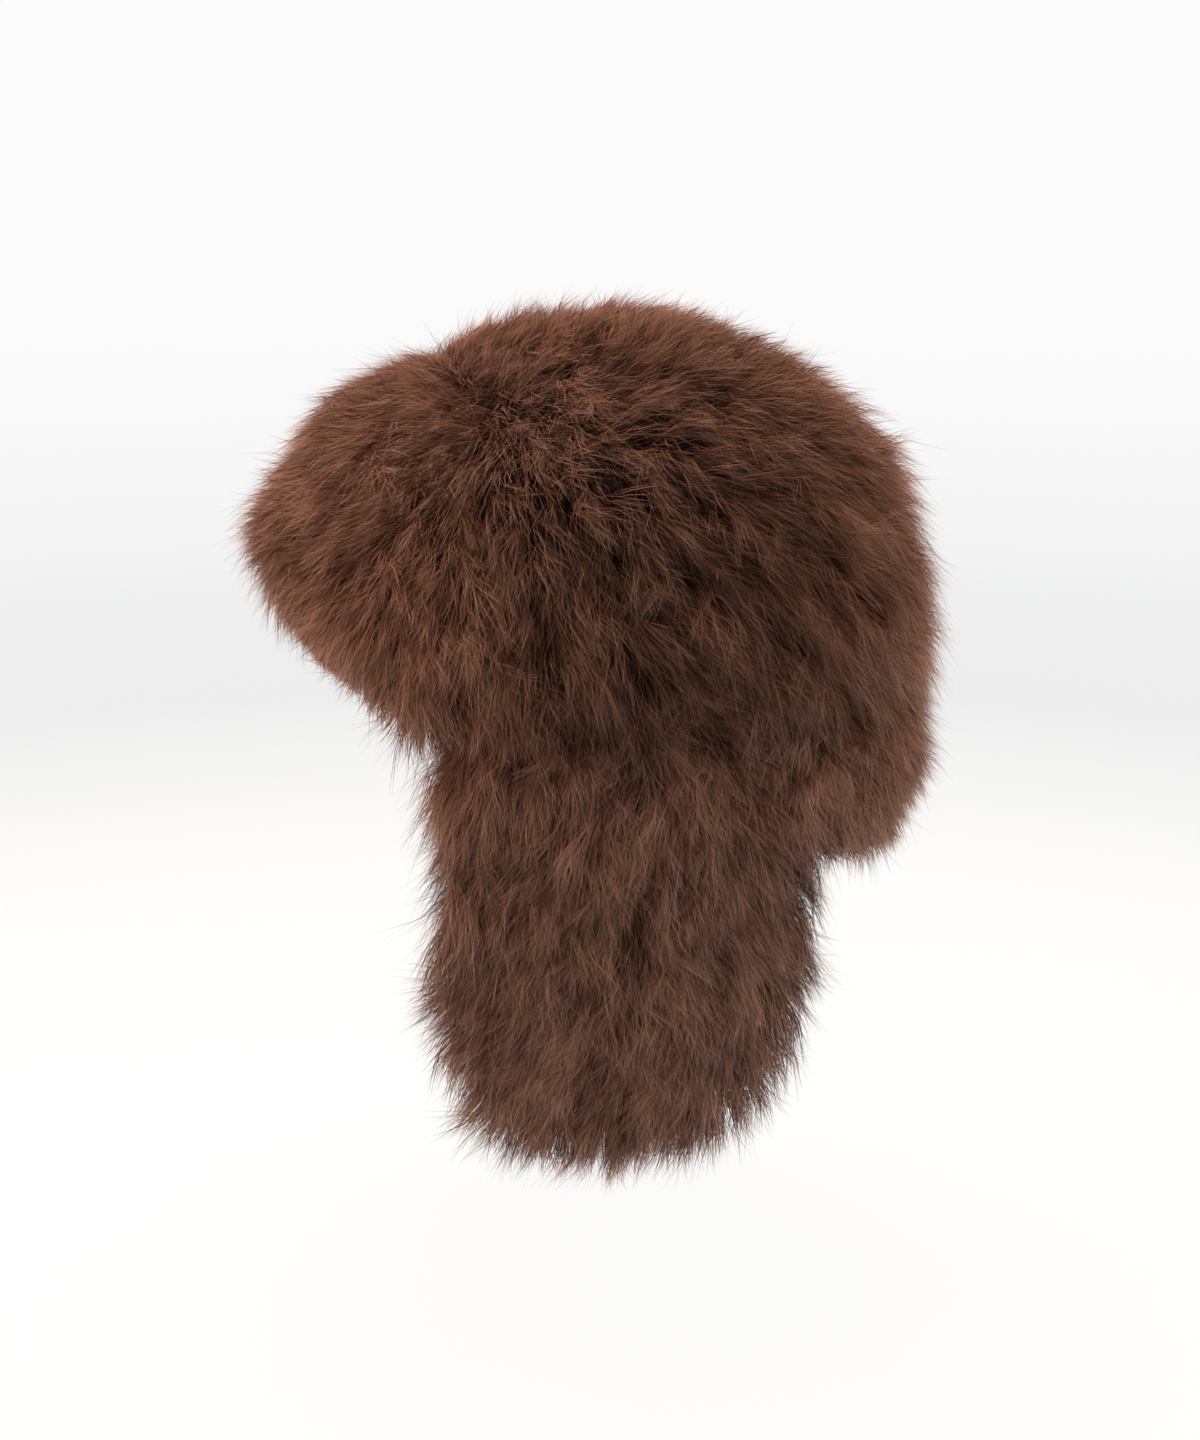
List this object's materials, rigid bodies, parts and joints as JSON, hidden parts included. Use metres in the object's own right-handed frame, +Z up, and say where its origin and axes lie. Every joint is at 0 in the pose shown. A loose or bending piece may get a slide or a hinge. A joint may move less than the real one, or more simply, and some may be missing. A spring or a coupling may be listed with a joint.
{
  "type": "fur aviator hat",
  "caption": "Long-pile fur aviator hat with a domed crown, a turned-up front flap, two long hanging ear flaps and a short neck flap.",
  "frame": {"origin": "centre of the head opening, level with the crown's rim at its sides and back, where a head holds the hat", "axes": "+Z up through the crown, -Y towards the wearer's face and the front flap, +X towards the wearer's left"},
  "size_m": [0.2396, 0.2728, 0.3151],
  "materials": {
    "fur": "long brown pile, soft sheen, lighter towards the tips",
    "skin": "matt brown suede side of the pelt"
  },
  "bodies": {
    "root": {"crown": "skin", "crown_fur": "fur", "front_flap": "skin", "front_flap_fur": "fur", "ear_flap_left": "skin", "ear_flap_left_fur": "fur", "ear_flap_right": "skin", "ear_flap_right_fur": "fur", "neck_flap": "skin", "neck_flap_fur": "fur"}
  },
  "joints": []
}
